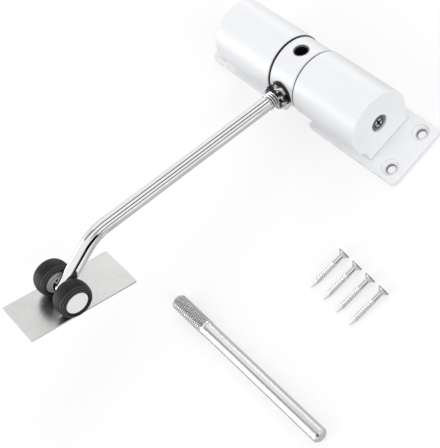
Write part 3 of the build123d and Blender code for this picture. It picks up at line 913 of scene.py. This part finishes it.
cupMesh = cup.lathe(cupRows, cupProfile)
lift = cup.add("ShaderNodeCombineXYZ", {2: cup.named("Distance")})
cupMesh = cup.add("GeometryNodeTransform", {"Geometry": cupMesh, "Translation": lift})
points = cup.add("GeometryNodeMeshLine", {"Count": cup.named("Count"), "Offset": (0, 0, 0)})
index = cup.add("GeometryNodeInputIndex")
turned = cup.add("ShaderNodeCombineXYZ", {0: cup.named("First") + cup.named("Step") * index})
cup.close(cup.repeated(points, cupMesh, turned))
hole = {"deep": 8.75, "mouth": 19.3, "outer": 4.93, "inner": 4.15}
holesMesh = cup.made(
    finishes["tapped_dark"],
    Length=(hole["mouth"] - hole["deep"]) * mm,
    Outer=hole["outer"] * mm,
    Inner=hole["inner"] * mm,
    Pitch=thread["pitch"] * mm,
    Distance=hole["deep"] * mm,
    First=math.radians(arm["angle"] - 90 - 90),
    Step=math.radians(-90),
)
hubFrame = Matrix.Translation(barrelMiddle)
tappedHoles = grownPiece("tappedHoles", holesMesh, hubFrame, finishes["tapped_dark"])
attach(tappedHoles, bodyOf["hub_ring"])
print("tapped holes done")

# Stage

cameraPlan = {
    "location": (0.39943, -0.11310, 0.54111),
    "turn": (26.119, 25.589, 46.840),
    "lens": 88.26,
    "clip": (0.01, 50.0),
}
camera = placed("camera", bpy.data.cameras.new("camera"))
camera.location = cameraPlan["location"]
camera.rotation_euler = [math.radians(turn) for turn in cameraPlan["turn"]]
camera.data.lens = cameraPlan["lens"]
camera.data.clip_start, camera.data.clip_end = cameraPlan["clip"]
bpy.context.scene.camera = camera
bpy.context.scene.view_settings.view_transform = "Standard"

lightPlan = {
    "ambient": 0.74,
    "sunAngle": 40.0,
    "suns": {
        "armSide": {"from": (-0.30, -0.83, 0.46), "strength": 0.66},
        "doorSide": {"from": (-0.20, 0.72, 0.66), "strength": 0.52},
        "endSide": {"from": (0.90, 0.05, 0.42), "strength": 0.92},
    },
    "horizon": {"half": 0.10, "light": 0.5},
    "softEdge": 0.3,  # share of a card's half size over which it fades
}
lightCards = (
    # toward, along, half across, half along, light
    ((0.94, 0.31, 0.15), (0, -0.95, 0.31), 0.09, 0.4, 0.0),
    ((0.55, 0.48, 0.68), (0, -0.95, 0.31), 0.13, 0.75, 0.0),
    ((-0.26, 0.55, 0.79), (0, -0.95, 0.31), 0.14, 0.75, 0.0),
    ((0.93, -0.24, 0.26), (0, 1, 0), 0.42, 0.30, 0.0),
    ((-0.48, -0.16, 0.86), (1, 0, 0), 0.22, 0.3, 0.3),
    ((-0.62, -0.72, 0.23), (1, 0, 0), 0.30, 0.5, 5.2),
    ((-0.68, 0.74, 0.08), (1, 0, 0), 0.22, 0.3, 3.6),
)
for name, plan in lightPlan["suns"].items():
    lamp = placed(name, bpy.data.lights.new(name, "SUN"))
    lamp.data.energy = plan["strength"]
    lamp.data.angle = math.radians(lightPlan["sunAngle"])
    lamp.visible_glossy = False
    lamp.rotation_mode = "QUATERNION"
    lamp.rotation_quaternion = Vector(plan["from"]).to_track_quat("Z", "Y")

# World: pale dome for the paint, plain white for the camera, and for gloss a white studio
# with dark cards and two light boxes in it
world = bpy.data.worlds.new("studio")
bpy.context.scene.world = world
world.use_nodes = True
sky = Tree(world.node_tree)
gaze = sky.add("ShaderNodeTexCoord", output="Generated")


def fading(distance, half):
    return sky.clamped((half - distance) / (lightPlan["softEdge"] * half))


horizon = lightPlan["horizon"]
cover = fading(sky.absolute(sky.split(gaze)[2]), horizon["half"])
cardLight = 1.0 + cover * (horizon["light"] - 1.0)
for toward, along, halfAcross, halfAlong, light in lightCards:
    toward, along = Vector(toward).normalized(), Vector(along)
    along = (along - toward * along.dot(toward)).normalized()
    cover = sky.dot(gaze, toward) > 0.0
    for axis, half in ((along.cross(toward), halfAcross), (along, halfAlong)):
        cover = cover * fading(sky.absolute(sky.dot(gaze, axis)), half)
    cardLight = cardLight + cover * (light - cardLight)
ray = sky.add("ShaderNodeLightPath", output="Is Camera Ray")
glossy = sky.other(ray, "Is Glossy Ray")
plain = sky.clamped(ray + sky.other(ray, "Is Transmission Ray"))
level = plain + glossy * cardLight
level = level + lightPlan["ambient"] * (1.0 - sky.clamped(plain + glossy))
backdrop = sky.add("ShaderNodeBackground", {"Color": shade(1.0), "Strength": level})
sky.add("ShaderNodeOutputWorld", {"Surface": backdrop})

# Floor: pale paper that shows as plain white but for the object's soft shadow. In gloss the paper
# carries painted shade near the arm, the rod and the screws, from and to a distance in m
floorPlan = {
    "size": 6.0,
    "bounce": 0.56,
    "shown": 0.36,
    "white": 1.016,
    "fibre": 0.996,
    "shade": 0.55,
    "arm": (0.045, 0.085),
    "rod": (0.02, 0.05),
    "screws": (0.03, 0.045),
}
floorMesh = bpy.data.meshes.new("floor")
half = floorPlan["size"] / 2
corners = [(-half, -half, 0), (half, -half, 0), (half, half, 0), (-half, half, 0)]
floorMesh.from_pydata(corners, [], [(0, 1, 2, 3)])
floor = placed("floor", floorMesh)
paper = Finish("paper")
ray = paper.add("ShaderNodeLightPath", output="Is Camera Ray")
glossy = paper.other(ray, "Is Glossy Ray")
seen = ray + glossy + paper.other(ray, "Is Transmission Ray")
falling = lightPlan["ambient"]
for plan in lightPlan["suns"].values():
    falling += plan["strength"] * Vector(plan["from"]).normalized().z / math.pi
plain = paper.add("ShaderNodeBsdfDiffuse", {"Color": shade(floorPlan["bounce"])})
shown = paper.add("ShaderNodeBsdfDiffuse", {"Color": shade(floorPlan["shown"])})
glow = {
    "Color": paper.mixed(paper.noise(60.0), floorPlan["fibre"], 1.0),
    "Strength": floorPlan["white"] - floorPlan["shown"] * falling,
}
lit = paper.add("ShaderNodeAddShader", {0: shown, 1: paper.add("ShaderNodeEmission", glow)})
# painted shade: in gloss the paper glows dimmer near the arm, the rod and the screws
x, y, _ = paper.split(paper.coords)
shaded = paper.spread(paper.absolute(x), *floorPlan["arm"])
shaded = shaded * paper.spread(paper.absolute(y - rod["y"] * mm), *floorPlan["rod"])
shaded = shaded * paper.spread(paper.away(x, y, (rowX, rowY)), *floorPlan["screws"])
under = {"Color": shade(1.0), "Strength": floorPlan["shade"]}
under = paper.add("ShaderNodeEmission", under)
lit = paper.add("ShaderNodeMixShader", {0: (1.0 - shaded) * glossy, 1: lit, 2: under})
both = paper.add("ShaderNodeMixShader", {0: paper.clamped(seen), 1: plain, 2: lit})
paper.add("ShaderNodeOutputMaterial", {"Surface": both})
floorMesh.materials.append(paper.material)
print("stage and lights done")
